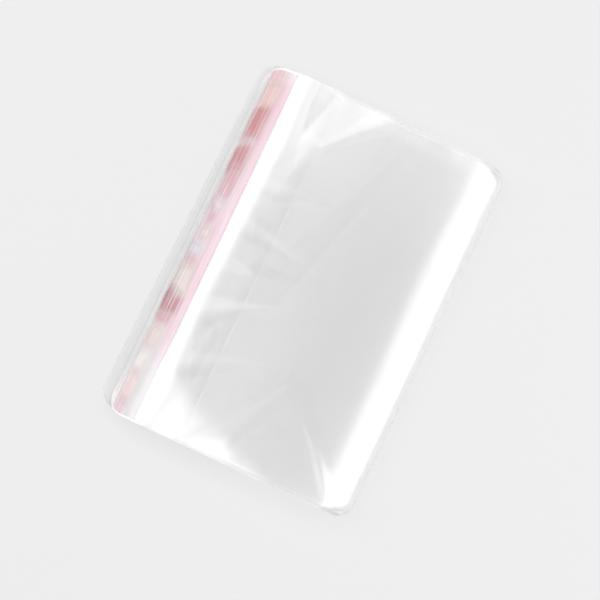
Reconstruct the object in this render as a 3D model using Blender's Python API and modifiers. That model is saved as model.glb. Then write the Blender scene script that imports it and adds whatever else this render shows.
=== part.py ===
"""A clear self-seal film bag, lying loosely folded in half.

One sheet of film makes the front wall, the bottom, the back wall and the flap that runs on past
the mouth. The flap's upper face carries a line of adhesive, and a release liner covers it.
Metres, +Z up, +Y along the mouth, +X from the flap's free end to the fold across the bag's middle.
The origin is under the middle of the bag, on the surface that it lies on.
"""

import math

import bmesh
import bpy
import numpy as np

# The bag, laid out flat
MOUTH_WIDTH = 0.180
BAG_DEPTH = 0.220
FLAP_DEPTH = 0.040
FILM = 0.00005
CORNER_RADIUS = 0.009
SEAM_WIDTH = 0.0015

# The closure
LINER_WIDTH = 0.016
LINER_THICKNESS = 0.00005
LINER_SETBACK = 0.002  # from the flap's free end
ADHESIVE_WIDTH = 0.006
ADHESIVE_THICKNESS = 0.00005
STRIP_INSET = 0.001  # from the film's side edges
SEAT = 0.0003  # clearance between touching pieces

# How the bag lies
OVERHANG = 0.0042  # the bag's bottom reaches this far past the flap's free end
LOWER_TURN = math.radians(0.8)  # the lower half lies this far out of line with the upper half
LOFT = 0.014  # height of the front wall over the upper half
SAG = 0.0012  # how far the upper half dips between shoulder and fold
SHOULDER = 0.033  # the flap end slopes down over this run
SHOULDER_POWER = 2.3  # how quickly that slope levels out
FOLD_TOP_RUN = 0.024  # the fold's upper quarter, along X
FOLD_UNDER_RUN = 0.008  # its lower quarter, along X
FOLD_UNDER_RISE = 0.0055  # and along Z
FOLD_CORNER = 0.007  # radius to which the fold draws in at the side seams
PUFF = 0.0008  # how far air parts the two walls
SIDE_GAP = 0.00015  # between the walls at the seams and the mouth
RIPPLE = 0.0005  # height of the waves along the mouth
RIPPLE_LENGTH = 0.110

# How finely the shapes are divided
FINE = 400
FINE_ACROSS = 25
CORNER_STEPS = 4
LOWER_STEPS = 6
UNDER_STEPS = 6
TOP_STEPS = 8
UPPER_STEPS = 8
FLAP_STEPS = 8
STRIP_STEPS = 4
CROSS_STEPS = 12
EDGE_STEPS = 3

WHOLE_DEPTH = BAG_DEPTH + FLAP_DEPTH
HALF_WIDTH = MOUTH_WIDTH / 2
# The flap's free end lies on the lower half, at its fullest
REST_HEIGHT = FILM + (SIDE_GAP + PUFF) + FILM + SEAT + FILM + SIDE_GAP


def upper_height(x, fold_start):
    """Height of the front wall's inner face over the upper half, x from the flap's free end."""
    along_slope = np.clip(x / SHOULDER, 0, 1)
    rise = 1 - (1 - along_slope) ** SHOULDER_POWER
    along_top = np.clip((x - SHOULDER) / (fold_start - SHOULDER), 0, 1)
    return REST_HEIGHT + (LOFT - REST_HEIGHT) * rise - SAG * np.sin(math.pi * along_top) ** 2


def stretches(reach):
    """The bag's section as four runs of points (x, z), from its bottom end to the flap's free end."""
    fold_start = reach - FOLD_TOP_RUN
    waist = FILM + FOLD_UNDER_RISE
    turn = np.linspace(0, math.pi / 2, FINE)
    lower = np.column_stack((np.linspace(-OVERHANG, reach - FOLD_UNDER_RUN, FINE), np.full(FINE, FILM)))
    under = np.column_stack(
        (reach - FOLD_UNDER_RUN * (1 - np.sin(turn)), waist - FOLD_UNDER_RISE * np.cos(turn))
    )
    top = np.column_stack((fold_start + FOLD_TOP_RUN * np.cos(turn), waist + (LOFT - waist) * np.sin(turn)))
    x = np.linspace(fold_start, 0, FINE)
    upper = np.column_stack((x, upper_height(x, fold_start)))
    return [lower, under, top, upper]


def run_length(points):
    return float(np.linalg.norm(np.diff(points, axis=0), axis=1).sum())


def find_reach():
    """How far the fold lies from the flap's free end, so that the sheet keeps its length."""
    reach = WHOLE_DEPTH / 2
    for _ in range(20):
        reach += (WHOLE_DEPTH - sum(run_length(run) for run in stretches(reach))) / 2
    return reach


REACH = find_reach()
RUNS = stretches(REACH)
SECTION = np.concatenate([RUNS[0]] + [run[1:] for run in RUNS[1:]])
ALONG = np.concatenate(([0.0], np.cumsum(np.linalg.norm(np.diff(SECTION, axis=0), axis=1))))
TANGENT = np.gradient(SECTION, ALONG, axis=0)
LOWER_END = run_length(RUNS[0])
WAIST_AT = LOWER_END + run_length(RUNS[1])
TOP_END = WAIST_AT + run_length(RUNS[2])


def section_at(along):
    """Point (x, z) of the section and its unit normal, which points into the fold."""
    x, z = (float(np.interp(along, ALONG, SECTION[:, axis])) for axis in (0, 1))
    dx, dz = (float(np.interp(along, ALONG, TANGENT[:, axis])) for axis in (0, 1))
    size = math.hypot(dx, dz)
    return x, z, -dz / size, dx / size


def half_width(along):
    """Half the sheet's width: its corners are rounded at the bottom and at the flap's free end."""
    from_end = min(along, WHOLE_DEPTH - along)
    short = max(CORNER_RADIUS - from_end, 0.0)
    return HALF_WIDTH - CORNER_RADIUS + math.sqrt(CORNER_RADIUS**2 - short**2)


def wall_gap(along, across):
    """How far the back wall lies inside the front wall. across runs from -1 to 1."""
    share = min(along / BAG_DEPTH, 1.0)
    fill = math.sqrt(max(math.sin(math.pi * share), 0.0))
    return SIDE_GAP + PUFF * fill * (1 - across**4)


def fold_draw(x, across):
    """How far the fold draws in beside the side seams, so that its corners are round in plan."""
    short = max(FOLD_CORNER - HALF_WIDTH * (1 - abs(across)), 0.0)
    into_fold = min(max(1 - (REACH - x) / FOLD_TOP_RUN, 0.0), 1.0)
    return into_fold**2 * (FOLD_CORNER - math.sqrt(FOLD_CORNER**2 - short**2))


def loose_point(along, across, depth):
    """A point depth inside the front wall's inner face, measured from the middle of the flap's end."""
    x, z, normal_x, normal_z = section_at(along)
    x -= fold_draw(x, across)
    y = across * half_width(along)
    lift = ((z - FILM) / (LOFT - FILM)) ** 2
    wave = RIPPLE * lift * math.sin(2 * math.pi * y / RIPPLE_LENGTH)
    share = min(max((TOP_END - along) / (TOP_END - LOWER_END), 0.0), 1.0)
    turn = LOWER_TURN * share
    from_fold = x + normal_x * depth - REACH
    turned_x = REACH + from_fold * math.cos(turn) + y * math.sin(turn)
    turned_y = y * math.cos(turn) - from_fold * math.sin(turn)
    return turned_x, turned_y, z + normal_z * depth + wave


def find_middle():
    """The middle of the sheet's outline in plan, which the origin lies under."""
    sheet_points = [
        loose_point(along, across, 0.0)
        for along in np.linspace(0, WHOLE_DEPTH, FINE)
        for across in np.linspace(-1, 1, FINE_ACROSS)
    ]
    x, y, _ = np.array(sheet_points).T
    return (x.min() + x.max()) / 2, (y.min() + y.max()) / 2


MIDDLE_X, MIDDLE_Y = find_middle()


def film_point(along, across, depth):
    x, y, z = loose_point(along, across, depth)
    return x - MIDDLE_X, y - MIDDLE_Y, z


def front_wall(along, across):
    return film_point(along, across, 0.0)


def back_wall(along, across):
    return film_point(along, across, wall_gap(along, across))


def spread(start, stop, steps):
    return list(np.linspace(start, stop, steps, endpoint=False))


def corner_rows():
    """Distances from an end at which a rounded corner is divided."""
    return [CORNER_RADIUS * (1 - math.cos(step * math.pi / 2 / CORNER_STEPS)) for step in range(CORNER_STEPS)]


def cross_columns():
    """Places across the sheet from -1 to 1: close together beside the seams, even between them."""
    seam = 1 - SEAM_WIDTH / HALF_WIDTH
    inner = 1 - max(FOLD_CORNER, CORNER_RADIUS) / HALF_WIDTH
    middle = list(np.linspace(-inner, inner, CROSS_STEPS + 1))
    side = list(np.linspace(inner, seam, EDGE_STEPS + 1))[1:] + [1.0]
    return [-place for place in reversed(side)] + middle + side


def add_sheet(bm, rows, columns, place):
    """A grid with vertex (i, j) at place(rows[i], columns[j]). Returns its vertices by (i, j)."""
    last_row, last_column = len(rows) - 1, len(columns) - 1
    made = bmesh.ops.create_grid(bm, x_segments=last_row, y_segments=last_column, size=1.0)
    grid = {}
    for vert in made["verts"]:
        i = round((vert.co.x + 1) / 2 * last_row)
        j = round((vert.co.y + 1) / 2 * last_column)
        vert.co = place(rows[i], columns[j])
        grid[i, j] = vert
    return grid


def outline(grid, rows, columns):
    """The vertices down one side, along the bottom and up the other side."""
    down = [grid[i, 0] for i in reversed(range(1, rows))]
    bottom = [grid[0, j] for j in range(columns)]
    up = [grid[i, columns - 1] for i in range(1, rows)]
    return down + bottom + up


def make_material(name, color, roughness, alpha):
    material = bpy.data.materials.new(name)
    material.use_nodes = True
    shader = material.node_tree.nodes["Principled BSDF"]
    shader.inputs["Base Color"].default_value = (*color, 1.0)
    shader.inputs["Metallic"].default_value = 0.0
    shader.inputs["Roughness"].default_value = roughness
    shader.inputs["Alpha"].default_value = alpha
    return material


def make_object(name, bm, thickness, material, collection):
    """The open surface in bm, as an object that Solidify thickens on the side its faces point to."""
    mesh = bpy.data.meshes.new(name)
    bm.to_mesh(mesh)
    bm.free()
    mesh.shade_smooth()
    mesh.materials.append(material)
    piece = bpy.data.objects.new(name, mesh)
    collection.objects.link(piece)
    shell = piece.modifiers.new("thickness", "SOLIDIFY")
    shell.thickness = thickness
    shell.offset = 1.0
    shell.use_even_offset = True
    return piece


def make_film(collection):
    """The pouch, open at the mouth, with the back wall running on as the flap."""
    lower_rows = corner_rows() + spread(CORNER_RADIUS, LOWER_END, LOWER_STEPS)
    fold_rows = spread(LOWER_END, WAIST_AT, UNDER_STEPS) + spread(WAIST_AT, TOP_END, TOP_STEPS)
    front_rows = lower_rows + fold_rows + spread(TOP_END, BAG_DEPTH, UPPER_STEPS) + [BAG_DEPTH]
    flap_rows = spread(BAG_DEPTH, WHOLE_DEPTH - CORNER_RADIUS, FLAP_STEPS)[1:]
    flap_end = [WHOLE_DEPTH - row for row in reversed(corner_rows())]
    back_rows = front_rows + flap_rows + [WHOLE_DEPTH - CORNER_RADIUS] + flap_end
    columns = cross_columns()

    bm = bmesh.new()
    front = add_sheet(bm, front_rows, columns, front_wall)
    bmesh.ops.reverse_faces(bm, faces=bm.faces[:])
    back = add_sheet(bm, back_rows, columns, back_wall)
    front_edge = outline(front, len(front_rows), len(columns))
    back_edge = outline(back, len(front_rows), len(columns))
    for a, b, c, d in zip(front_edge, front_edge[1:], back_edge[1:], back_edge):
        bm.faces.new((a, d, c, b))
    material = make_material("clear_film", (0.93, 0.94, 0.95), 0.08, 0.35)
    return make_object("film_bag", bm, FILM, material, collection)


def make_strip(name, width, lift, thickness, material, collection):
    """A strip along the flap, lift above the flap's upper face, on the liner's centre line."""
    centre = WHOLE_DEPTH - LINER_SETBACK - LINER_WIDTH / 2
    rows = list(np.linspace(centre - width / 2, centre + width / 2, STRIP_STEPS + 1))
    inset = 1 - STRIP_INSET / HALF_WIDTH
    columns = list(np.linspace(-inset, inset, CROSS_STEPS + 1))

    def place(along, across):
        return film_point(along, across, wall_gap(along, across) - lift)

    bm = bmesh.new()
    add_sheet(bm, rows, columns, place)
    bmesh.ops.reverse_faces(bm, faces=bm.faces[:])
    return make_object(name, bm, thickness, material, collection)


def main():
    for old in list(bpy.data.objects):
        bpy.data.objects.remove(old)
    collection = bpy.data.collections.new("self_seal_film_bag")
    bpy.context.scene.collection.children.link(collection)
    make_film(collection)
    adhesive = make_material("adhesive", (0.85, 0.84, 0.80), 0.45, 0.6)
    make_strip("adhesive_strip", ADHESIVE_WIDTH, SEAT, ADHESIVE_THICKNESS, adhesive, collection)
    liner = make_material("printed_liner", (0.80, 0.42, 0.45), 0.30, 0.85)
    liner_lift = SEAT + ADHESIVE_THICKNESS + SEAT
    make_strip("release_liner", LINER_WIDTH, liner_lift, LINER_THICKNESS, liner, collection)


main()
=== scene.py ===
# %% [markdown]
# # A clear self-seal film bag, lying loosely folded in half
#
# The real bag is a single sheet of clear polypropylene film. The sheet is folded at the bottom,
# welded up both sides, and runs on past the mouth as a flap. The flap carries a line of
# adhesive under a printed liner that peels off. This lesson models those three pieces, gives
# each its finish, and lights them so that clear film shows up on a pale floor.
#
# The imported model comes first, because every new piece has to lie where its solid lies.

# %% The imported model
import math

import bpy
import numpy as np
from mathutils import Matrix, Vector


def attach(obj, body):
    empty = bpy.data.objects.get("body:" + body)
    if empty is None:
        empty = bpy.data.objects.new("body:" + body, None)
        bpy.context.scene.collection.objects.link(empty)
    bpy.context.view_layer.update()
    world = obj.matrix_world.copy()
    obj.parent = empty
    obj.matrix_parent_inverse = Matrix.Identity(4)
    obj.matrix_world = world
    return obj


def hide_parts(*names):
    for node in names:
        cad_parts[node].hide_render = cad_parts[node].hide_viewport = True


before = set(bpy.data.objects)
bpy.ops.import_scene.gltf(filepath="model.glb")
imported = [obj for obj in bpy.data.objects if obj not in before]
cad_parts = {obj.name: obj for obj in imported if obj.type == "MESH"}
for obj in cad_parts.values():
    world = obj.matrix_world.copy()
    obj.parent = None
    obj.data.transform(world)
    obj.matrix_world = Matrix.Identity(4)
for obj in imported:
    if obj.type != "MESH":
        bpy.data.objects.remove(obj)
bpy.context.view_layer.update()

# %% [markdown]
# ## The flat sheet and how it is folded
#
# A film bag is cut before it is folded, so its shape starts from flat sizes: the width along
# the mouth, the depth from the bottom to the mouth, and the flap. The other values say how the
# sheet lies. They are the same named values that the solids were made from, in metres.

# %% Sizes
MOUTH_WIDTH = 0.180
BAG_DEPTH = 0.220
FLAP_DEPTH = 0.040
FILM = 0.00005
CORNER_RADIUS = 0.009
WHOLE_DEPTH = BAG_DEPTH + FLAP_DEPTH
HALF_WIDTH = MOUTH_WIDTH / 2

OVERHANG = 0.0042  # the bag's bottom reaches this far past the flap's free end
LOWER_TURN = math.radians(0.8)  # the lower half lies this far out of line with the upper half
LOFT = 0.014  # height of the front wall over the upper half
SAG = 0.0012  # how far the upper half dips between shoulder and fold
SHOULDER = 0.033  # the flap end slopes down over this run
SHOULDER_POWER = 2.3  # how quickly that slope levels out
FOLD_TOP_RUN = 0.024  # the fold's upper quarter, along X
FOLD_UNDER_RUN = 0.008  # its lower quarter, along X
FOLD_UNDER_RISE = 0.0055  # and along Z
FOLD_CORNER = 0.007  # radius to which the fold draws in at the side seams
PUFF = 0.0008  # how far air parts the two walls
SIDE_GAP = 0.00015  # between the walls at the seams and the mouth
RIPPLE = 0.0005  # height of the waves along the mouth
RIPPLE_LENGTH = 0.110
SEAT = 0.0003  # clearance between the upper and the lower half
REST_HEIGHT = FILM + (SIDE_GAP + PUFF) + FILM + SEAT + FILM + SIDE_GAP
FINE = 400  # steps for measuring lengths along the section
FINE_ACROSS = 25

# %% [markdown]
# ## The folded section
#
# Seen from its open side, the folded bag is one curve: flat on the floor, round the fold at
# the right, back along the top, and down the slope where the flap ends. Four short runs are
# enough: a line, two quarter ellipses and a power curve. The length along the curve is found
# by adding up small steps, and the fold is moved until that length equals the sheet's own
# length, because film bends but doesn't stretch.


# %% The section as a curve of known length
def upper_height(x, fold_start):
    """Rest height plus a power curve up to the loft, less a sine-squared sag between the ends."""
    along_slope = np.clip(x / SHOULDER, 0, 1)
    rise = 1 - (1 - along_slope) ** SHOULDER_POWER
    along_top = np.clip((x - SHOULDER) / (fold_start - SHOULDER), 0, 1)
    return REST_HEIGHT + (LOFT - REST_HEIGHT) * rise - SAG * np.sin(math.pi * along_top) ** 2


def stretches(reach):
    """A floor line, a lower and an upper quarter ellipse, and the top: each as points (x, z)."""
    fold_start = reach - FOLD_TOP_RUN
    waist = FILM + FOLD_UNDER_RISE
    turn = np.linspace(0, math.pi / 2, FINE)
    lower = np.column_stack((np.linspace(-OVERHANG, reach - FOLD_UNDER_RUN, FINE), np.full(FINE, FILM)))
    under_x = reach - FOLD_UNDER_RUN * (1 - np.sin(turn))
    under = np.column_stack((under_x, waist - FOLD_UNDER_RISE * np.cos(turn)))
    top_x = fold_start + FOLD_TOP_RUN * np.cos(turn)
    top = np.column_stack((top_x, waist + (LOFT - waist) * np.sin(turn)))
    x = np.linspace(fold_start, 0, FINE)
    return [lower, under, top, np.column_stack((x, upper_height(x, fold_start)))]


def run_length(points):
    """The sum of the distances between neighbouring points."""
    return float(np.linalg.norm(np.diff(points, axis=0), axis=1).sum())


REACH = WHOLE_DEPTH / 2
for _ in range(20):
    REACH += (WHOLE_DEPTH - sum(run_length(run) for run in stretches(REACH))) / 2
RUNS = stretches(REACH)
SECTION = np.concatenate([RUNS[0]] + [run[1:] for run in RUNS[1:]])
ALONG = np.concatenate(([0.0], np.cumsum(np.linalg.norm(np.diff(SECTION, axis=0), axis=1))))
TANGENT = np.gradient(SECTION, ALONG, axis=0)
LOWER_END = run_length(RUNS[0])
TOP_END = LOWER_END + run_length(RUNS[1]) + run_length(RUNS[2])
print(f"fold {REACH * 1000:.1f} mm from the flap's end, sheet {ALONG[-1] * 1000:.1f} mm along")

# %% [markdown]
# ## Facets and puckers
#
# Stiff clear film doesn't drape like cloth. It stays flat in facets that meet at straight
# creases, and what the eye reads as clear film is mostly which facets catch a lamp. A cloth
# simulation rounds these creases off, so they are written as formulas instead. A facet is a
# plane that starts at a line and dips past it. A pucker is a tent that grows from a point, as
# film does where it is pulled from one spot. Places are (x, y) in plan, in metres from the
# middle of the flap's free end.

# %% Relief of the upper half
# The film beside the liner is stretched smooth: puckers fade in from here, over this distance
BAND_END = 0.026
BAND_FADE = 0.012
# Each facet: a point on its line, the direction in which it dips, the slope, how softly it starts
FACETS = [
    ((0.0299, -0.0672), (-0.4315, -0.902), 0.092, 0.0016),
    ((0.0485, 0.0736), (-0.707, 0.707), 0.050, 0.0026),
    ((0.112, 0.072), (0.60, 0.80), 0.050, 0.0020),
]
# Each pucker: its point, the middle of its wide end, its half width there and its height there
PUCKERS = [
    ((0.055, -0.014), (0.019, -0.033), 0.0080, 0.00100),
    ((0.066, 0.006), (0.022, 0.012), 0.0065, 0.00060),
    ((0.070, -0.036), (0.026, -0.056), 0.0075, 0.00070),
    ((0.064, 0.040), (0.030, 0.034), 0.0060, -0.00050),
    ((0.030, 0.052), (0.060, 0.084), 0.0070, 0.00060),
    ((0.078, -0.047), (0.108, -0.082), 0.0045, 0.00080),
    ((0.088, -0.020), (0.052, -0.082), 0.0090, 0.00060),
]
PUCKER_SOFTNESS = 0.0006
# A pucker fades out past its wide end: at this share of its length, this quickly
PUCKER_END = 1.15
PUCKER_END_RATE = 12
PUCKER_MOST = 1.5
# Short waves beside the seams, out of step with each other by twice the shift
EDGE_WAVE = 0.00020
EDGE_WAVE_LENGTH = 0.024
EDGE_WAVE_REACH = 0.010
EDGE_WAVE_SHIFT = 9


def distance_past(x, y, start, towards):
    """How far each place lies past the line through start, measured along towards."""
    return ((x - start[0]) * towards[0] + (y - start[1]) * towards[1]) / math.hypot(*towards)


def facet(x, y, start, towards, slope, softness):
    """A plane past a line: slope times softplus of the distance past it."""
    return -slope * softness * np.logaddexp(0, distance_past(x, y, start, towards) / softness)


def soft_floor(value, softness):
    """The larger of value and zero, rounded off over one softness: (v + root(v^2 + s^2)) / 2."""
    return (value + np.sqrt(value**2 + softness**2)) / 2


def tent(x, y, point, end, half_width):
    """Share of the length from the point less share of the width, and the distance off its middle."""
    run = np.subtract(end, point)
    length = float(np.hypot(*run))
    along = ((x - point[0]) * run[0] + (y - point[1]) * run[1]) / length
    off = ((x - point[0]) * run[1] - (y - point[1]) * run[0]) / length
    ridge = np.sqrt(off**2 + PUCKER_SOFTNESS**2)
    share = soft_floor(along / length - ridge / half_width, PUCKER_SOFTNESS / half_width)
    fade = 1 / (1 + np.exp((along / length - PUCKER_END) * PUCKER_END_RATE))
    return np.minimum(share, PUCKER_MOST) * fade, off


def pucker(x, y, point, end, half_width, height):
    """A tent that grows from a point, times its height."""
    return height * tent(x, y, point, end, half_width)[0]


def relief(x, y):
    """All facets and puckers added up, with short waves that fade out from the side seams."""
    folds = sum(pucker(x, y, *one) for one in PUCKERS) * np.clip((x - BAND_END) / BAND_FADE, 0, 1)
    height = sum(facet(x, y, *one) for one in FACETS) + folds
    from_seam = HALF_WIDTH - np.abs(y)
    turns = 2 * math.pi * x / EDGE_WAVE_LENGTH + EDGE_WAVE_SHIFT * np.sign(y)
    return height + EDGE_WAVE * (np.sin(turns) * np.exp(-from_seam / EDGE_WAVE_REACH))


# %% [markdown]
# ## Where the film is painted lighter and greyer
#
# The film's tone carries painted highlights and painted shade. The facets, one side of each
# pucker and the area by the flap are painted lighter, as highlights on those slopes, and the
# other side of each pucker and a broad band towards the fold are painted greyer, as shade. A
# few wedges among the puckers are flat, so they differ in painted tone alone. These tones are a
# number at each vertex, from -1 to 1, which the film's shader reads as an attribute.

# %% Painted highlight and shade marks
# Each broad field: its middle in x, its half width in x and its strength
# (painted highlight above zero, painted shade below)
BROAD_TONES = [(0.028, 0.036, 0.72), (0.088, 0.022, -0.25)]
# Each facet's painted highlight strength, in their order, and how softly it starts, in the facet's own
# softness
FACET_TONES = [1.20, 0.60, 0.20]
FACET_TONE_EDGE = 1.2
# The facets' tones fade in from the flap's free end over this distance
FREE_END_FADE = 0.012
# A pucker's painted tone is full at a third of its height, and turns from painted highlight to
# painted shade across a share of its width
PUCKER_TONE = 0.45
PUCKER_TONE_RISE = 3
PUCKER_TONE_TURN = 0.30
WEDGE_TONE_RISE = 5
# Puckers and wedges keep clear of the band beside the liner: from here, over this distance
TONE_START = 0.019
TONE_FADE = 0.007
# Each wedge: its point, the middle of its wide end, its half width there and its strength
# (painted highlight above zero, painted shade below)
WEDGE_TONES = [
    ((0.0561, -0.0136), (0.0158, -0.0287), 0.0042, 0.55),
    ((0.0312, -0.0306), (0.0238, -0.0497), 0.0042, 0.4),
    ((0.0421, -0.0058), (0.0175, -0.0062), 0.0051, 0.45),
    ((0.0289, 0.0044), (0.0296, 0.0161), 0.0042, -0.4),
    ((0.0566, 0.0006), (0.0384, -0.0024), 0.0033, -0.35),
    ((0.0305, -0.0665), (0.0275, -0.0420), 0.0058, -0.45),
    ((0.0270, 0.0580), (0.0295, 0.0860), 0.0052, -1.1),
    ((0.0300, 0.0440), (0.0335, 0.0600), 0.0070, 0.35),
    ((0.0759, -0.0486), (0.1107, -0.0846), 0.0037, 0.55),
    ((0.103, -0.0728), (0.0797, -0.0478), 0.0065, -0.25),
    ((0.0337, 0.0614), (0.0241, 0.0341), 0.0061, 0.45),
    ((0.0828, 0.0972), (0.0498, 0.0061), 0.0079, -0.18),
]


def painted_light_marks(x, y):
    """Painted highlight and shade: broad bell curves, steps past facets, two-sided puckers, flat wedges."""
    marks = sum(strength * np.exp(-(((x - middle) / width) ** 2)) for middle, width, strength in BROAD_TONES)
    off_free_end = np.clip(x / FREE_END_FADE, 0, 1)
    for (start, towards, _, softness), tone in zip(FACETS, FACET_TONES):
        past = distance_past(x, y, start, towards)
        marks = marks + tone * off_free_end / (1 + np.exp(-past / (FACET_TONE_EDGE * softness)))
    clear_of_band = np.clip((x - TONE_START) / TONE_FADE, 0, 1)
    for point, end, half_width, _ in PUCKERS:
        share, off = tent(x, y, point, end, half_width)
        side = np.tanh(off / (PUCKER_TONE_TURN * half_width))
        marks = marks + PUCKER_TONE * (np.minimum(PUCKER_TONE_RISE * share, 1) * side) * clear_of_band
    for point, end, half_width, strength in WEDGE_TONES:
        share = tent(x, y, point, end, half_width)[0]
        marks = marks + strength * np.minimum(WEDGE_TONE_RISE * share, 1) * clear_of_band
    return marks


# %% [markdown]
# ## One function for the whole sheet
#
# Every piece of this bag lies on the same curved sheet, so one function gives a point from how
# far along the sheet it is, how far across, and how deep inside the front wall. It works on
# whole arrays, which is how numpy computes a fine grid in one go.


# %% A point on the folded sheet
# Relief fades out towards the floor by this power of the height
RELIEF_FADE_POWER = 1.5


def half_width(along):
    """Half the mouth width, less a quarter circle at the bottom and at the flap's free end."""
    short = np.maximum(CORNER_RADIUS - np.minimum(along, WHOLE_DEPTH - along), 0)
    return HALF_WIDTH - CORNER_RADIUS + np.sqrt(np.maximum(CORNER_RADIUS**2 - short**2, 0))


def wall_gap(along, across):
    """A thin gap everywhere, plus the air's share: root of a sine along times (1 - across^4)."""
    fill = np.sqrt(np.maximum(np.sin(math.pi * np.minimum(along / BAG_DEPTH, 1)), 0))
    return SIDE_GAP + PUFF * fill * (1 - across**4)


def fold_draw(x, across):
    """A quarter circle's shortfall beside the seams, faded in by the square of the way into the fold."""
    short = np.maximum(FOLD_CORNER - HALF_WIDTH * (1 - np.abs(across)), 0)
    into_fold = np.clip(1 - (REACH - x) / FOLD_TOP_RUN, 0, 1)
    return into_fold**2 * (FOLD_CORNER - np.sqrt(np.maximum(FOLD_CORNER**2 - short**2, 0)))


def upper_share(along):
    """0 on the lower half, 1 on the upper half, and rising over the last stretch of the fold."""
    return np.clip((along - TOP_END + FOLD_TOP_RUN) / FOLD_TOP_RUN, 0, 1)


def loose_point(along, across, depth, detail=1.0):
    """The section's point, moved depth along its normal, lifted by relief and turned at the fold."""
    x, z = (np.interp(along, ALONG, SECTION[:, axis]) for axis in (0, 1))
    x = x - fold_draw(x, across)
    dx, dz = (np.interp(along, ALONG, TANGENT[:, axis]) for axis in (0, 1))
    size = np.hypot(dx, dz)
    y = across * half_width(along)
    lift = (z - FILM) / (LOFT - FILM)
    wave = RIPPLE * lift**2 * np.sin(2 * math.pi * y / RIPPLE_LENGTH)
    dressing = detail * relief(x, y) * upper_share(along) * np.clip(lift, 0, 1) ** RELIEF_FADE_POWER
    share = np.clip((TOP_END - along) / (TOP_END - LOWER_END), 0, 1)
    turn = LOWER_TURN * share
    from_fold = x - depth * dz / size - REACH
    turned_x = REACH + from_fold * np.cos(turn) + y * np.sin(turn)
    turned_y = y * np.cos(turn) - from_fold * np.sin(turn)
    return np.stack((turned_x, turned_y, z + depth * dx / size + wave + dressing), axis=-1)


all_along, all_across = np.meshgrid(np.linspace(0, WHOLE_DEPTH, FINE), np.linspace(-1, 1, FINE_ACROSS))
PLAN = loose_point(all_along, all_across, 0.0, detail=0.0).reshape(-1, 3)
MIDDLE = (PLAN.min(0) + PLAN.max(0)) / 2 * (1, 1, 0)


def sheet_point(along, across, depth):
    """A point of the sheet, measured from under the middle of the folded bag."""
    return loose_point(along, across, depth) - MIDDLE


print("plan size in mm:", np.round((PLAN.max(0) - PLAN.min(0))[:2] * 1000, 1))

# %% [markdown]
# ## From grids to meshes
#
# A grid of points becomes a mesh when each cell is given its four corner numbers. Those numbers
# are worked out for all the cells at once, by slicing the grid four ways. The UV map holds real
# distances on the flat sheet, in metres, so a pattern bends with the film and keeps its scale.


# %% Mesh helpers
# Walls that meet at more than this angle keep a crisp edge, as at the side seams
SHARP_ANGLE = math.radians(60)


def cells(numbers):
    """The four corner numbers of each cell of a grid of vertex numbers, one row per cell."""
    corners = (numbers[:-1, :-1], numbers[1:, :-1], numbers[1:, 1:], numbers[:-1, 1:])
    return np.stack(corners, axis=-1).reshape(-1, 4)


def make_piece(name, points, faces, flat, material, marks=None):
    """A smooth mesh from points and four-cornered faces, flat (u, v) per corner, painted light per vertex."""
    mesh = bpy.data.meshes.new(name)
    mesh.from_pydata(points.tolist(), [], faces.tolist())
    layer = mesh.uv_layers.new(name="flat_sheet")
    layer.data.foreach_set("uv", flat.astype(np.float32).ravel())
    # The painted highlight and shade of each vertex, as an attribute
    if marks is not None:
        tones = mesh.attributes.new("painted_light_marks", "FLOAT", "POINT")
        tones.data.foreach_set("value", marks.astype(np.float32))
    mesh.polygons.foreach_set("use_smooth", np.ones(len(faces), bool))
    mesh.update()
    mesh.set_sharp_from_angle(angle=SHARP_ANGLE)
    mesh.materials.append(material)
    piece = bpy.data.objects.new(name, mesh)
    bpy.context.scene.collection.objects.link(piece)
    print(name, len(mesh.vertices), "vertices,", len(mesh.polygons), "faces")
    return piece


# %% [markdown]
# ## Shader maths as Python
#
# Node trees are easier to read as sums. This small class wraps a socket, so that 1 - mask or
# mask * 0.3 adds the Math nodes for it. Every other node comes from its one method, add.


# %% A socket that can be used in sums
class Signal:
    """A shader socket. Sums with numbers and other signals add Math nodes."""

    def __init__(self, tree, socket=None):
        self.tree = tree
        self.socket = socket

    def add(self, kind, settings=None, values=None, output=0):
        """Adds a node of this kind, sets its settings, then its sockets to values or links."""
        node = self.tree.nodes.new(kind)
        for name, value in (settings or {}).items():
            setattr(node, name, value)
        for key, value in (values or {}).items():
            if isinstance(value, Signal):
                self.tree.links.new(value.socket, node.inputs[key])
            else:
                node.inputs[key].default_value = value
        return Signal(self.tree, node.outputs[output])

    def math(self, operation, first, second=0.0):
        """One Math node, on numbers or signals."""
        return self.add("ShaderNodeMath", {"operation": operation}, {0: first, 1: second})

    def __add__(self, other):
        return self.math("ADD", self, other)

    def __sub__(self, other):
        return self.math("SUBTRACT", self, other)

    def __rsub__(self, other):
        return self.math("SUBTRACT", other, self)

    def __mul__(self, other):
        return self.math("MULTIPLY", self, other)

    def __truediv__(self, other):
        return self.math("DIVIDE", self, other)

    __radd__ = __add__
    __rmul__ = __mul__

    def above(self, level, softness):
        """0 below the level and 1 above it, with a smooth step that is softness wide."""
        ends = {"From Min": level - softness / 2, "From Max": level + softness / 2}
        return self.add("ShaderNodeMapRange", {"interpolation_type": "SMOOTHSTEP"}, {"Value": self, **ends})

    def between(self, low, high, softness):
        """1 between two levels, with smooth steps at both."""
        return self.above(low, softness) * (1 - self.above(high, softness))


def blend(mask, under, over):
    """The colour under where the mask is 0, and over where it is 1."""
    values = {"Factor": mask, "A": under, "B": over}
    node = mask.tree.nodes.new("ShaderNodeMix")
    node.data_type = "RGBA"
    for key, value in values.items():
        socket = next(s for s in node.inputs if s.name == key and s.enabled)
        if isinstance(value, Signal):
            mask.tree.links.new(value.socket, socket)
        else:
            socket.default_value = value
    return Signal(mask.tree, next(s for s in node.outputs if s.enabled))


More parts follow.
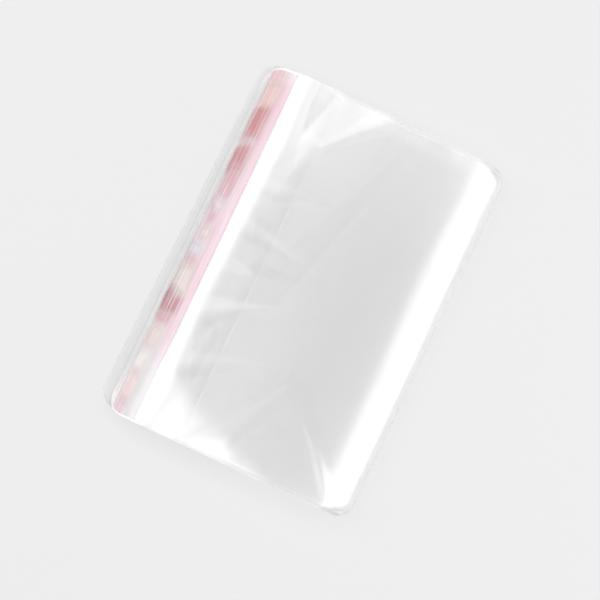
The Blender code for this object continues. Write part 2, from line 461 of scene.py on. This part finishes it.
def start_material(name):
    """A new material, its shader, a signal to add nodes with, and the flat distances: (u, v), u, v."""
    material = bpy.data.materials.new(name)
    material.use_nodes = True
    tree = material.node_tree
    base = Signal(tree)
    flat = base.add("ShaderNodeUVMap", {"uv_map": "flat_sheet"})
    u = base.add("ShaderNodeSeparateXYZ", values={0: flat}, output=0)
    v = base.add("ShaderNodeSeparateXYZ", values={0: flat}, output=1)
    return material, tree.nodes["Principled BSDF"], base, flat, u, v


def link(signal, socket):
    """Feeds a shader's input from a signal."""
    signal.tree.links.new(signal.socket, socket)


def grain(base, flat, scale, stretch=(1.0, 1.0, 1.0), detail=2.0):
    """Noise on the flat sheet, scale bumps a metre, stretched by different scales along u and v."""
    moved = base.add("ShaderNodeMapping", values={"Vector": flat, "Scale": stretch})
    return base.add("ShaderNodeTexNoise", values={"Vector": moved, "Scale": scale, "Detail": detail})


# %% [markdown]
# ## The film's finish
#
# Clear film is hard to make with real refraction, because four walls of it lie on top of each
# other. A simple way is one Principled shader whose Alpha is low: the floor shows through, and
# each wall adds a little milky white, as stacked film does. The welded seams, the folded bottom
# and the cut edge at the mouth scatter more light, so Alpha rises there. The welds are crushed
# film with less coat, and their grey is painted shade, as is the grey along the flap's edge at
# -Y. The tone marks add painted highlights and painted shade. The clear coat carries the gloss,
# and a fine bump along the sheet breaks it up.

# %% Clear film
SEAM_WIDTH = 0.0026
SEAM_EDGE = 0.0020
WELD_WIDTH = 0.0017
WELD_EDGE = 0.0016
WELD_STRENGTH = 0.75
BOTTOM_HALF = 0.0012  # half the width of the bottom's line
BOTTOM_EDGE = 0.0010
# Flat distance at which the flap starts, and over which its own haze sets in
FLAP_START = 2 * BAG_DEPTH
FLAP_EDGE = 0.008
# The mouth's bright line: where it stops off the mouth and along it, and how softly
MOUTH_LIP = (0.0010, 0.0014)
MOUTH_LIP_STOP = (0.040, 0.030)
# Alpha of plain film, and what each kind of mark adds to it
HAZE = 0.38
# Painted highlight raises the Alpha by this
PAINTED_HIGHLIGHT_HAZE = 0.23
FLAP_HAZE = 0.14
SEAM_HAZE = 0.24
MOUTH_HAZE = 0.10
BOTTOM_HAZE = 0.04
MOST_ALPHA = 0.95
# The slow cloudiness of the film shifts the tone marks by up to half of this
CLOUDINESS = 0.3
# Plain film, then the painted highlight's white and the painted shade's grey
CLEAR_TONE = (0.95, 0.95, 0.95, 1)
PAINTED_HIGHLIGHT_TONE = (1.0, 1.0, 1.0, 1)
PAINTED_SHADE_TONE = (0.84, 0.84, 0.84, 1)


def make_film_finish():
    """Clear film: tone and Alpha from painted highlight and shade marks, seams, mouth, bottom and flap."""
    material, shader, base, flat, u, v = start_material("clear_film")
    from_middle = base.math("ABSOLUTE", u)
    flap = v.above(FLAP_START + FLAP_EDGE / 2, FLAP_EDGE)
    seam = from_middle.above(HALF_WIDTH - SEAM_WIDTH, SEAM_EDGE) * (1 - flap)
    # On the flap only the edge at -Y is as dull and grey as the welds; there the grey is painted shade alone
    weld_and_edge_shade = from_middle.above(HALF_WIDTH - WELD_WIDTH, WELD_EDGE) * (1 - flap * u.above(0.0, 0.01))
    patches = grain(base, flat, 70.0, detail=1.0).above(0.50, 0.20)
    mouth_lip = patches * (1 - v.above(*MOUTH_LIP)) * (1 - u.above(*MOUTH_LIP_STOP))
    bottom = v.between(BAG_DEPTH - BOTTOM_HALF, BAG_DEPTH + BOTTOM_HALF, BOTTOM_EDGE)
    cloud = grain(base, flat, 16.0, stretch=(1.0, 0.7, 1.0), detail=1.0)
    marks = base.add("ShaderNodeAttribute", {"attribute_name": "painted_light_marks"}, output="Fac")
    # Painted highlight where the marks are above zero, painted shade where they are below
    painted_highlight = base.math("MAXIMUM", marks + CLOUDINESS * (cloud - 0.5), 0.0)
    painted_shade_and_weld = base.math("MAXIMUM", CLOUDINESS * (0.5 - cloud) - marks, 0.0)
    haze = HAZE + PAINTED_HIGHLIGHT_HAZE * painted_highlight + FLAP_HAZE * flap
    rims = SEAM_HAZE * seam * (1 - weld_and_edge_shade) + MOUTH_HAZE * mouth_lip + BOTTOM_HAZE * bottom
    link(base.math("MINIMUM", haze + rims, MOST_ALPHA), shader.inputs["Alpha"])
    # The tone is lightened by the painted highlight, then greyed by painted shade
    tone = blend(base.math("MINIMUM", painted_highlight, 1.0), CLEAR_TONE, PAINTED_HIGHLIGHT_TONE)
    # Painted shade greys the welded seams and the flap's edge at -Y, which also lose coat
    painted_shade_and_weld = base.math("MAXIMUM", painted_shade_and_weld, WELD_STRENGTH * weld_and_edge_shade)
    link(blend(base.math("MINIMUM", painted_shade_and_weld, 1.0), tone, PAINTED_SHADE_TONE), shader.inputs["Base Color"])
    link(0.26 + 0.12 * cloud, shader.inputs["Roughness"])
    shader.inputs["Metallic"].default_value = 0.0
    shader.inputs["IOR"].default_value = 1.6
    shader.inputs["Specular IOR Level"].default_value = 1.0
    link(1 - WELD_STRENGTH * weld_and_edge_shade, shader.inputs["Coat Weight"])
    shader.inputs["Coat IOR"].default_value = 2.2
    shader.inputs["Coat Roughness"].default_value = 0.22
    ripples = grain(base, flat, 22.0, stretch=(0.5, 1.0, 1.0), detail=1.0)
    bump_values = {"Strength": 0.20, "Distance": 0.0012, "Height": ripples}
    link(base.add("ShaderNodeBump", values=bump_values), shader.inputs["Normal"])
    return material


# %% [markdown]
# ## The film
#
# The front wall and the back wall are two grids on the same sheet function. They share their
# vertices along both side seams and along the bottom, which is what makes them a bag: the
# numbers of the shared vertices are simply copied from one grid into the other. Past the mouth
# the back wall's grid runs on as the flap. Rows lie close together where the film bends.

# %% Film rows and columns
LOWER_PITCH = 0.0030
UPPER_PITCH = 0.0012
CROSS_PITCH = 0.0013
EDGE_CELL = 0.0006  # the outermost column of cells is this wide
ARC_ROWS = 9
# Beside the seams the two walls part as 1 - across to this power
PARTING_POWER = 12


def spaced(start, stop, pitch):
    """Even steps of about one pitch, with both ends in the list."""
    return np.linspace(start, stop, max(2, round((stop - start) / pitch) + 1))


def film_rows(stop):
    """Rows from the bottom to stop: close together at a rounded corner, the fold and the top."""
    corner = CORNER_RADIUS * (1 - np.cos(np.linspace(0, math.pi / 2, ARC_ROWS)))
    lower = spaced(CORNER_RADIUS, LOWER_END, LOWER_PITCH)
    upper = spaced(LOWER_END, stop, UPPER_PITCH)
    return np.concatenate((corner, lower[1:], upper[1:]))


columns = np.concatenate(
    (
        [-1.0, -1 + EDGE_CELL / HALF_WIDTH],
        spaced(-1 + SEAM_WIDTH / HALF_WIDTH, 1 - SEAM_WIDTH / HALF_WIDTH, CROSS_PITCH / HALF_WIDTH),
        [1 - EDGE_CELL / HALF_WIDTH, 1.0],
    )
)
front_rows = film_rows(BAG_DEPTH)
flap_rows = spaced(BAG_DEPTH, WHOLE_DEPTH - CORNER_RADIUS, UPPER_PITCH)[1:]
flap_corner = WHOLE_DEPTH - CORNER_RADIUS * (1 - np.cos(np.linspace(math.pi / 2, 0, ARC_ROWS)))[1:]
back_rows = np.concatenate((front_rows, flap_rows, flap_corner))
print(len(front_rows), "rows in the front wall,", len(back_rows), "in the back wall and flap")


# %% Film mesh
def make_film():
    """Front and back walls of one sheet, joined at the seams and the bottom by shared vertices."""
    front_along, front_across = np.meshgrid(front_rows, columns, indexing="ij")
    back_along, back_across = np.meshgrid(back_rows, columns, indexing="ij")
    parted = (1 - np.abs(back_across) ** PARTING_POWER) * np.minimum(back_along / CORNER_RADIUS, 1)
    front = sheet_point(front_along, front_across, 0.0)
    back = sheet_point(back_along, back_across, wall_gap(back_along, back_across) * parted)
    front_numbers = np.arange(front[..., 0].size).reshape(front.shape[:2])
    back_numbers = front_numbers.size + np.arange(back[..., 0].size).reshape(back.shape[:2])
    shared = len(front_rows)
    back_numbers[:shared, 0] = front_numbers[:, 0]
    back_numbers[:shared, -1] = front_numbers[:, -1]
    back_numbers[0, :] = front_numbers[0, :]
    points = np.concatenate((front.reshape(-1, 3), back.reshape(-1, 3)))
    faces = np.concatenate((cells(front_numbers)[:, ::-1], cells(back_numbers)))
    # Flat distances: v runs from the front wall's mouth edge round the bottom to the flap's end
    flat_front = np.stack((front_across * half_width(front_along), BAG_DEPTH - front_along), axis=-1)
    flat_back = np.stack((back_across * half_width(back_along), BAG_DEPTH + back_along), axis=-1)
    own_front = np.arange(front_numbers.size).reshape(front_numbers.shape)
    own_back = np.arange(back_numbers.size).reshape(back_numbers.shape)
    flat = np.concatenate(
        (
            flat_front.reshape(-1, 2)[cells(own_front)[:, ::-1].ravel()],
            flat_back.reshape(-1, 2)[cells(own_back).ravel()],
        )
    )
    along = np.concatenate((front_along.ravel(), back_along.ravel()))
    # Painted highlight and shade, on the upper half alone
    marks = upper_share(along) * painted_light_marks(points[:, 0] + MIDDLE[0], points[:, 1] + MIDDLE[1])
    used, renumbered = np.unique(faces, return_inverse=True)
    faces = renumbered.reshape(faces.shape)
    return make_piece("film_bag_sheet", points[used], faces, flat, make_film_finish(), marks[used])


film = make_film()
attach(film, "root")
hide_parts("film_bag")

# %% [markdown]
# ## The adhesive and its liner
#
# Both are strips on the flap's upper face, so they use the same sheet function with a small
# lift off the film. A strip is a grid too, and a Solidify modifier gives it a thickness. The
# adhesive is a bead with a slightly uneven edge. The liner is wider than the adhesive, so its
# two edges can be lifted by a finger, and they curl up a little. The outermost cells are very
# narrow, so that smooth shading doesn't round off the strip's flat face.

# %% Strip sizes
LINER_WIDTH = 0.016
LINER_SETBACK = 0.002
LINER_THICKNESS = 0.00006
ADHESIVE_WIDTH = 0.006
ADHESIVE_THICKNESS = 0.00012
ADHESIVE_WAVER = 0.00015
ADHESIVE_LIFT = 0.00012
LINER_LIFT = ADHESIVE_LIFT + ADHESIVE_THICKNESS + 0.00010
LINER_CURL = 0.00010
CURL_FLUTTER = 0.4  # the curl varies by this share along the liner
FLUTTER_TURNS = 17
STRIP_INSET = 0.001
STRIP_CENTRE = WHOLE_DEPTH - LINER_SETBACK - LINER_WIDTH / 2
STRIP_POINTS = 15  # across a strip, between its two outermost cells
# The outermost cells: shares of half the strip's width and of half its length
SIDE_CELL = 0.01
END_CELL = 0.001
# The adhesive's edge wavers by two sines along the strip
WAVER_TURNS = (57, 23)


def make_strip(name, width, lift, thickness, waver, material):
    """Sheet points at along = centre + side * width / 2, lifted off the flap by lift(side, across)."""
    share = np.concatenate(([-1.0], np.linspace(SIDE_CELL - 1, 1 - SIDE_CELL, STRIP_POINTS), [1.0]))
    inset = 1 - STRIP_INSET / HALF_WIDTH
    inner = (1 - END_CELL) * inset
    run = np.concatenate(([-inset], spaced(-inner, inner, CROSS_PITCH / HALF_WIDTH), [inset]))
    side, across = np.meshgrid(share, run, indexing="ij")
    edge = waver * np.sin(across * WAVER_TURNS[0] + 2 * side) * np.sin(across * WAVER_TURNS[1] + 1)
    along = STRIP_CENTRE + side * (width / 2 + edge)
    points = sheet_point(along, across, wall_gap(along, across) - lift(side, across))
    numbers = np.arange(side.size).reshape(side.shape)
    faces = cells(numbers)[:, ::-1]
    flat = np.stack((across * HALF_WIDTH, (1 - side) * width / 2), axis=-1).reshape(-1, 2)[faces.ravel()]
    piece = make_piece(name, points.reshape(-1, 3), faces, flat, material)
    shell = piece.modifiers.new("thickness", "SOLIDIFY")
    shell.thickness = thickness
    shell.offset = 1.0
    return piece


# %% Adhesive
def make_adhesive_finish():
    """Pale tacky adhesive, with fine lumps in tone, gloss, Alpha and relief."""
    material, shader, base, flat, *_ = start_material("adhesive")
    lumps = grain(base, flat, 900.0, detail=3.0)
    link(blend(lumps, (0.78, 0.77, 0.74, 1), (0.92, 0.91, 0.88, 1)), shader.inputs["Base Color"])
    link(0.30 + 0.35 * lumps, shader.inputs["Roughness"])
    link(0.45 + 0.25 * lumps, shader.inputs["Alpha"])
    bump_values = {"Strength": 0.5, "Distance": 0.0002, "Height": lumps}
    link(base.add("ShaderNodeBump", values=bump_values), shader.inputs["Normal"])
    return material


def adhesive_lift(side, across):
    """A constant small lift off the film."""
    return np.full_like(side, ADHESIVE_LIFT)


adhesive = make_strip(
    "adhesive_bead", ADHESIVE_WIDTH, adhesive_lift, ADHESIVE_THICKNESS, ADHESIVE_WAVER, make_adhesive_finish()
)
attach(adhesive, "root")
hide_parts("adhesive_strip")

# %% [markdown]
# ## The printed liner
#
# The liner is thin film printed with soft colour fields on its free-end side. The other side is
# pale pink with fine magenta rules along it. Each field is a rectangle on the flat strip: how
# far along the strip it starts and stops, how far across, and its colour. The fields go over
# each other in order, as inks do. Their edges are soft, and fine pale streaks run over
# everything, under a pale painted sheen that lightens all the print. Towards both ends of the
# strip the pale side fades to white, as a painted glare.

# %% Print on the liner
# Each field: its start and stop in shares of the length from the +Y end, its two edges in shares
# of the width from the free-end side, and its colour
PRINT_FIELDS = [
    (-0.05, 0.045, 0.08, 0.58, (0.90, 0.54, 0.57)),
    (0.045, 0.13, 0.06, 0.62, (0.86, 0.55, 0.52)),
    (0.115, 0.21, 0.06, 0.58, (0.62, 0.12, 0.14)),
    (0.225, 0.31, 0.08, 0.56, (0.60, 0.14, 0.17)),
    (0.29, 0.38, 0.18, 0.60, (0.70, 0.31, 0.38)),
    (0.38, 0.42, 0.12, 0.55, (0.76, 0.56, 0.64)),
    (0.425, 0.455, 0.24, 0.48, (0.66, 0.14, 0.28)),
    (0.46, 0.505, 0.18, 0.56, (0.78, 0.54, 0.54)),
    (0.51, 0.56, 0.02, 0.52, (0.68, 0.60, 0.68)),
    (0.563, 0.578, 0.16, 0.56, (0.66, 0.12, 0.20)),
    (0.58, 0.655, 0.06, 0.62, (0.74, 0.62, 0.56)),
    (0.655, 0.715, -0.02, 0.64, (0.44, 0.04, 0.08)),
    (0.712, 0.745, 0.06, 0.58, (0.64, 0.24, 0.31)),
    (0.75, 0.82, 0.16, 0.54, (0.80, 0.62, 0.60)),
    (0.82, 0.885, 0.06, 0.42, (0.92, 0.86, 0.82)),
    (0.885, 0.965, 0.10, 0.52, (0.84, 0.62, 0.58)),
    (0.96, 1.05, 0.15, 0.60, (0.78, 0.50, 0.58)),
]
PALE_PINK = (0.97, 0.64, 0.76, 1)
PRINTED_TINT = (0.90, 0.79, 0.81, 1)
# Painted sheen and glare lighten the print towards this white
SHEEN_WHITE = (1.0, 0.98, 0.99, 1)
RULE = (0.86, 0.40, 0.60, 1)
# Alpha of the plain tint, of a field and of a rule
TINT_COVER = 0.62
FIELD_COVER = 0.82
RULE_COVER = 0.75
# Each rule: its place and width in shares of the liner's width, and its strength
RULES = [(0.66, 0.04, 0.35), (0.75, 0.035, 0.50)]
# How soft a field's edges are, along and across, and how far it spreads towards the pale side
FIELD_EDGES = (0.040, 0.26)
FIELD_SPREAD = 0.05
# Slow noise bends the fields' edges by up to half of this, along and across
WANDER = (0.044, 0.20)
# Steps in shares of the length or the width: where each is half way, and how soft it is
PRINT_STOP = (0.60, 0.16)
PALE_START = (0.03, 0.10)
PALE_STOP = (0.79, 0.18)
GLARE_SIDE = (0.48, 0.26)
NEAR_RIM = (0.09, 0.18)
FAR_RIM = (0.94, 0.12)
RULE_EDGE = 0.03  # how soft a rule is, in shares of the width
RIM_COVER = 0.05  # share of the cover that is left at the two long rims


def make_liner_finish():
    """Printed film: tint, fields, rules, painted sheen and glare, with Alpha raised by what covers it."""
    material, shader, base, flat, u, v = start_material("printed_liner")
    wander = grain(base, flat, 90.0, detail=1.0) - 0.5
    streaks = grain(base, flat, 1.0, stretch=(22.0, 1300.0, 1.0), detail=2.0)
    length_share = (HALF_WIDTH - u) / MOUTH_WIDTH + WANDER[0] * wander
    true_width_share = v / LINER_WIDTH
    width_share = true_width_share + WANDER[1] * wander
    printed = 1 - width_share.above(*PRINT_STOP)
    ink = blend(printed, PALE_PINK, PRINTED_TINT)
    cover = TINT_COVER + 0.08 * printed
    for start, stop, left, right, color in PRINT_FIELDS:
        along_field = length_share.between(start, stop, FIELD_EDGES[0])
        field = along_field * width_share.between(left, right + FIELD_SPREAD, FIELD_EDGES[1])
        ink = blend(field, ink, (*color, 1))
        cover = base.math("MAXIMUM", cover, FIELD_COVER * field)
    ends = base.math("MAXIMUM", 1 - length_share.above(*PALE_START), length_share.above(*PALE_STOP))
    for place, width, strength in RULES:
        rule = strength * true_width_share.between(place - width / 2, place + width / 2, RULE_EDGE)
        rule = rule * (0.3 + streaks) * (1 - ends)
        ink = blend(rule, ink, RULE)
        cover = base.math("MAXIMUM", cover, RULE_COVER * rule)
    # Painted glare on the pale side at both ends, and a painted sheen with pale streaks over all
    glare = ends * width_share.above(*GLARE_SIDE)
    sheen_and_streaks = 0.16 + 0.50 * streaks.above(0.57, 0.18)
    sheen_and_streaks = base.math("MAXIMUM", sheen_and_streaks, 0.88 * glare)
    link(blend(sheen_and_streaks, ink, SHEEN_WHITE), shader.inputs["Base Color"])
    inside = true_width_share.above(*NEAR_RIM) * (1 - true_width_share.above(*FAR_RIM))
    rims = RIM_COVER + (1 - RIM_COVER) * inside
    link(cover * rims * (1 - 0.25 * glare), shader.inputs["Alpha"])
    link(0.28 + 0.2 * (wander + 0.5), shader.inputs["Roughness"])
    shader.inputs["Coat Weight"].default_value = 1.0
    shader.inputs["Coat IOR"].default_value = 1.6
    shader.inputs["Coat Roughness"].default_value = 0.20
    ripples = grain(base, flat, 60.0, stretch=(1.0, 0.4, 1.0), detail=1.0)
    bump_values = {"Strength": 0.3, "Distance": 0.0006, "Height": ripples}
    link(base.add("ShaderNodeBump", values=bump_values), shader.inputs["Normal"])
    return material


def liner_lift(side, across):
    """Lies on the adhesive, and curls up by the fourth power of the share towards its edges."""
    flutter = 1 - CURL_FLUTTER + CURL_FLUTTER * np.sin(across * FLUTTER_TURNS + 3 * side)
    return LINER_LIFT + LINER_CURL * flutter * side**4


liner = make_strip("release_liner_film", LINER_WIDTH, liner_lift, LINER_THICKNESS, 0.0, make_liner_finish())
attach(liner, "root")
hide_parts("release_liner")

# %% [markdown]
# ## The floor
#
# The floor is plain and pale. Most of its brightness is its own for the camera, so that it has
# one even tone, and the rest is lit, so that it still takes the bag's faint shadow. Rays that
# pass the film by its Alpha still count as camera rays, so the tone holds under the bag too.

# %% Floor
FLOOR_SIZE = 6.0
FLOOR_TONE = (0.846, 0.846, 0.846, 1)
OWN_SHARE = 0.78


def make_floor():
    """A plane whose finish mixes a lit surface with a glow of its own, for camera rays alone."""
    bpy.ops.mesh.primitive_plane_add(size=FLOOR_SIZE)
    floor = bpy.context.object
    floor.name = "studio_floor"
    material = bpy.data.materials.new("studio_floor")
    material.use_nodes = True
    tree = material.node_tree
    base = Signal(tree)
    to_camera = base.add("ShaderNodeLightPath", output="Is Camera Ray")
    shader = tree.nodes["Principled BSDF"]
    shader.inputs["Base Color"].default_value = FLOOR_TONE
    shader.inputs["Roughness"].default_value = 0.9
    shader.inputs["Specular IOR Level"].default_value = 0.1
    glow = base.add("ShaderNodeEmission", values={"Color": FLOOR_TONE, "Strength": 1.0})
    plain = Signal(tree, shader.outputs[0])
    mixed = base.add("ShaderNodeMixShader", values={0: to_camera * OWN_SHARE, 1: plain, 2: glow})
    tree.links.new(mixed.socket, tree.nodes["Material Output"].inputs["Surface"])
    floor.data.materials.append(material)
    print("floor", FLOOR_SIZE, "m across")


make_floor()

# %% [markdown]
# ## The lamps
#
# Clear film shows what it mirrors. Four soft boxes hang round a dark gap overhead: the flat
# middle mirrors the gap and stays grey, and every slope mirrors a box and turns white. A slope
# of one angle mirrors what stands at twice that angle, so each box is placed by the slopes that
# have to shine: the round fold by the wide box at +X, the shoulder by the one at -X. Slopes of
# more than 35 degrees mirror the sky just above the floor, so the sky is bright there, mostly
# at +X. The camera sees a plain backdrop instead of this sky, in the tone of the floor.

# %% Soft boxes and sky
BOX_HEIGHT = 0.70
SKY = 0.12
HORIZON = 1.8
HORIZON_TOP = 0.16
HORIZON_LEFT = 0.15
BACKDROP_TONE = 0.86
# Each box: its lowest and highest corner in plan, and its radiance
BOXES = {
    "box_fold": ((0.285, -0.26), (2.00, 0.46), 3.05),
    "box_shoulder": ((-2.40, -0.26), (-0.405, 0.46), 3.05),
    "box_far": ((-0.28, 0.33), (0.20, 0.66), 2.9),
    "box_near": ((-0.28, -0.50), (0.20, -0.19), 2.9),
}


def soft_box(name, low, high, radiance):
    """A flat lamp facing down. Its power is pi times its area times the radiance wanted."""
    lamp = bpy.data.lights.new(name, "AREA")
    lamp.shape = "RECTANGLE"
    lamp.size, lamp.size_y = high[0] - low[0], high[1] - low[1]
    lamp.energy = math.pi * lamp.size * lamp.size_y * radiance
    holder = bpy.data.objects.new(name, lamp)
    holder.location = ((low[0] + high[0]) / 2, (low[1] + high[1]) / 2, BOX_HEIGHT)
    bpy.context.scene.collection.objects.link(holder)


for box_name, box in BOXES.items():
    soft_box(box_name, *box)

world = bpy.data.worlds.new("studio_sky")
world.use_nodes = True
sky = Signal(world.node_tree)
direction = sky.add("ShaderNodeTexCoord", output="Generated")
to_right = sky.add("ShaderNodeSeparateXYZ", values={0: direction}, output=0).above(0.0, 0.8)
share = HORIZON_LEFT + (1 - HORIZON_LEFT) * to_right
low = 1 - sky.add("ShaderNodeSeparateXYZ", values={0: direction}, output=2).above(HORIZON_TOP, HORIZON_TOP)
seen = sky.add("ShaderNodeLightPath", output="Is Camera Ray")
backdrop = world.node_tree.nodes["Background"]
backdrop.inputs["Color"].default_value = (1, 1, 1, 1)
light = SKY + HORIZON * (low * share)
link(seen * BACKDROP_TONE + (1 - seen) * light, backdrop.inputs["Strength"])
bpy.context.scene.world = world
print(len(BOXES), "soft boxes", BOX_HEIGHT, "m up")

# %% [markdown]
# ## The camera
#
# The photograph looks almost straight down, with the bag turned in the picture. The camera is
# placed from three angles: how the bag is turned, how far the camera leans from straight down,
# and towards which side of the picture it leans.

# %% Camera
PICTURE_TURN = math.radians(25.0)
LEAN = math.radians(7.0)
LEAN_SIDE = math.radians(225)
PICTURE_PIXELS = 600
BAG_MIDDLE_PIXEL = (305.9, 285.5)
METRES_A_PIXEL = 0.000466
LENS = 85.0
SENSOR = 36.0

right = Vector((math.cos(PICTURE_TURN), math.sin(PICTURE_TURN), 0))
up = Vector((-math.sin(PICTURE_TURN), math.cos(PICTURE_TURN), 0))
lean_way = right * math.cos(LEAN_SIDE) + up * math.sin(LEAN_SIDE)
out = Vector((0, 0, 1)) * math.cos(LEAN) + lean_way * math.sin(LEAN)
distance = PICTURE_PIXELS * METRES_A_PIXEL * LENS / SENSOR
view_right = up.cross(out).normalized()
view_up = out.cross(view_right).normalized()
off_x = (PICTURE_PIXELS / 2 - BAG_MIDDLE_PIXEL[0]) * METRES_A_PIXEL
off_y = (BAG_MIDDLE_PIXEL[1] - PICTURE_PIXELS / 2) * METRES_A_PIXEL
aim = Vector((0, 0, LOFT / 2)) + view_right * off_x + view_up * off_y
camera_data = bpy.data.cameras.new("camera")
camera_data.lens = LENS
camera_data.sensor_width = SENSOR
camera = bpy.data.objects.new("camera", camera_data)
bpy.context.scene.collection.objects.link(camera)
facing = Matrix((view_right, view_up, out)).transposed().to_4x4()
camera.matrix_world = Matrix.Translation(aim + out * distance) @ facing
bpy.context.scene.camera = camera
bpy.context.scene.view_settings.view_transform = "Standard"
print("camera at", [round(value, 3) for value in aim + out * distance])
